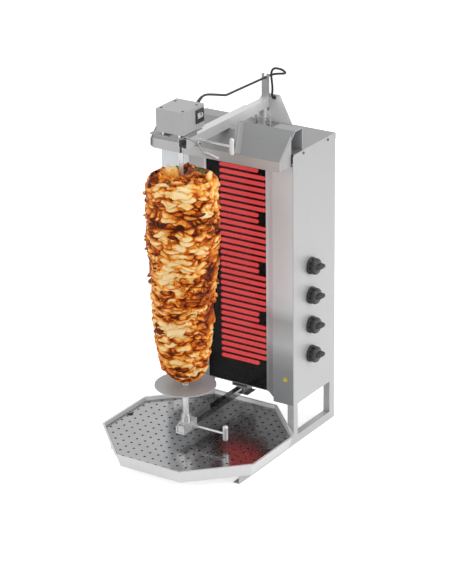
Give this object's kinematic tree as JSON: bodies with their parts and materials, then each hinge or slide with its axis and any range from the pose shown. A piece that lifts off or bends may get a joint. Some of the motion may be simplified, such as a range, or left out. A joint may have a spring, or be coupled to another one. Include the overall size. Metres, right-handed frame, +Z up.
{
  "type": "electric doner kebab grill",
  "caption": "Upright electric kebab grill with a heated glass front, rotating spit with stacked meat, motor head on a sliding arm, perforated drip tray and side knobs.",
  "frame": {"origin": "on the floor, in the middle of the outline", "axes": "+X to the right seen from the front, +Y to the back, +Z up; the tray and spit face -Y"},
  "size_m": [0.55, 0.7, 1.12],
  "materials": {
    "black": "black plastic",
    "black_gloss": "black switch frame",
    "board": "dark fibre board",
    "casting": "gear and motor housing",
    "cord": "black rubber cord",
    "dark_metal": "dark heater box",
    "glass_black": "smoked ceramic glass",
    "glow": "glowing heater ribbon",
    "lamp": "yellow lens",
    "meat": "roasted meat slices",
    "regulator": "switch housing",
    "rocker": "light rocker",
    "rod_white": "bright rods and grips",
    "screws": "screw heads",
    "shaft": "blackened steel shaft",
    "steel": "satin brushed stainless steel",
    "steel_bright": "fine brushed stainless steel",
    "terminal": "terminal block"
  },
  "bodies": {
    "cabinet": {"side_frame_right": "steel", "side_frame_left": "steel", "front_panel_right": "steel", "front_panel_left": "steel", "bottom_plate": "steel", "top_cover": "steel", "back_panel": "steel", "hood": "steel", "heater_box": "dark_metal", "heater_glass": "glass_black", "heating_board": "board", "heating_bars_1": "glow", "heating_bars_2": "glow", "heating_bars_3": "glow", "heating_bars_4": "glow", "regulator_1": "regulator", "regulator_2": "regulator", "regulator_3": "regulator", "regulator_4": "regulator", "terminal_block": "terminal", "indicator_lamp": "lamp", "mains_gland": "black", "panel_screws": "screws", "arm_back_plate": "steel", "arm_post": "steel", "upper_guide_tube": "steel_bright", "cord_fork": "steel", "lower_guide_tube": "steel_bright", "lower_guide_bracket": "steel", "motor_cord": "cord"},
    "tray": {"drip_tray": "steel_bright", "perforated_plate": "steel_bright"},
    "upper_arm": {"upper_arm_tube": "steel_bright", "motor_plate": "steel", "motor_spacers": "steel_bright", "motor_casing": "steel", "motor_lid": "steel", "lid_screws": "screws", "drive_motor": "casting", "gearbox": "casting", "switch_frame": "black_gloss", "cord_gland": "black"},
    "drive": {"drive_shaft": "shaft"},
    "rocker": {"switch_rocker": "rocker"},
    "lever": {"release_lever": "rod_white"},
    "upper_handle": {"upper_clamp_handle": "rod_white"},
    "lower_arm": {"lower_carriage": "steel", "spit_bearing": "steel_bright"},
    "lower_handle": {"lower_clamp_handle": "rod_white"},
    "spit": {"spit_rod": "steel_bright", "spit_disc": "steel_bright", "disc_collar": "steel_bright", "meat_stack": "meat"},
    "knob_a": {"knob_1": "black"},
    "knob_b": {"knob_2": "black"},
    "knob_c": {"knob_3": "black"},
    "knob_d": {"knob_4": "black"}
  },
  "joints": [
    {"name": "tray_slide", "type": "slide", "parent": "cabinet", "child": "tray", "axis": [0, -1, 0], "range_m": [0, 0.12]},
    {"name": "lower_arm_slide", "type": "slide", "parent": "cabinet", "child": "lower_arm", "axis": [0, 1, 0], "range_m": [-0.03, 0.045]},
    {"name": "upper_arm_slide", "type": "slide", "parent": "cabinet", "child": "upper_arm", "axis": [0, 1, 0], "range_m": [-0.03, 0.045], "deforming": ["motor_cord"]},
    {"name": "spit_spin", "type": "hinge", "parent": "lower_arm", "child": "spit", "pos_m": [0, -0.136, 0.2], "axis": [0, 0, 1], "continuous": true},
    {"name": "drive_spin", "type": "hinge", "parent": "upper_arm", "child": "drive", "pos_m": [0, -0.136, 1.04], "axis": [0, 0, 1], "continuous": true},
    {"name": "switch_rock", "type": "hinge", "parent": "upper_arm", "child": "rocker", "pos_m": [0.041, -0.106, 1.088], "axis": [0, 1, 0], "range_deg": [-10, 10]},
    {"name": "lever_turn", "type": "hinge", "parent": "upper_arm", "child": "lever", "pos_m": [0.018, -0.079, 0.997], "axis": [1, 0, 0], "range_deg": [0, 12]},
    {"name": "upper_clamp_turn", "type": "hinge", "parent": "upper_arm", "child": "upper_handle", "pos_m": [0.06, -0.06, 0.994], "axis": [1, 0, 0], "range_deg": [0, 270]},
    {"name": "lower_clamp_turn", "type": "hinge", "parent": "lower_arm", "child": "lower_handle", "pos_m": [0.06, -0.116, 0.103], "axis": [1, 0, 0], "range_deg": [0, 270]},
    {"name": "knob_a_turn", "type": "hinge", "parent": "cabinet", "child": "knob_a", "pos_m": [0.235, 0.206, 0.558], "axis": [1, 0, 0], "range_deg": [0, 300]},
    {"name": "knob_b_turn", "type": "hinge", "parent": "cabinet", "child": "knob_b", "pos_m": [0.235, 0.206, 0.4619], "axis": [1, 0, 0], "range_deg": [0, 300]},
    {"name": "knob_c_turn", "type": "hinge", "parent": "cabinet", "child": "knob_c", "pos_m": [0.235, 0.206, 0.3658], "axis": [1, 0, 0], "range_deg": [0, 300]},
    {"name": "knob_d_turn", "type": "hinge", "parent": "cabinet", "child": "knob_d", "pos_m": [0.235, 0.206, 0.2697], "axis": [1, 0, 0], "range_deg": [0, 300]}
  ],
  "couplings": [
    {"joint": "upper_arm_slide", "follows": "lower_arm_slide", "ratio": 1},
    {"joint": "drive_spin", "follows": "spit_spin", "ratio": 1}
  ]
}
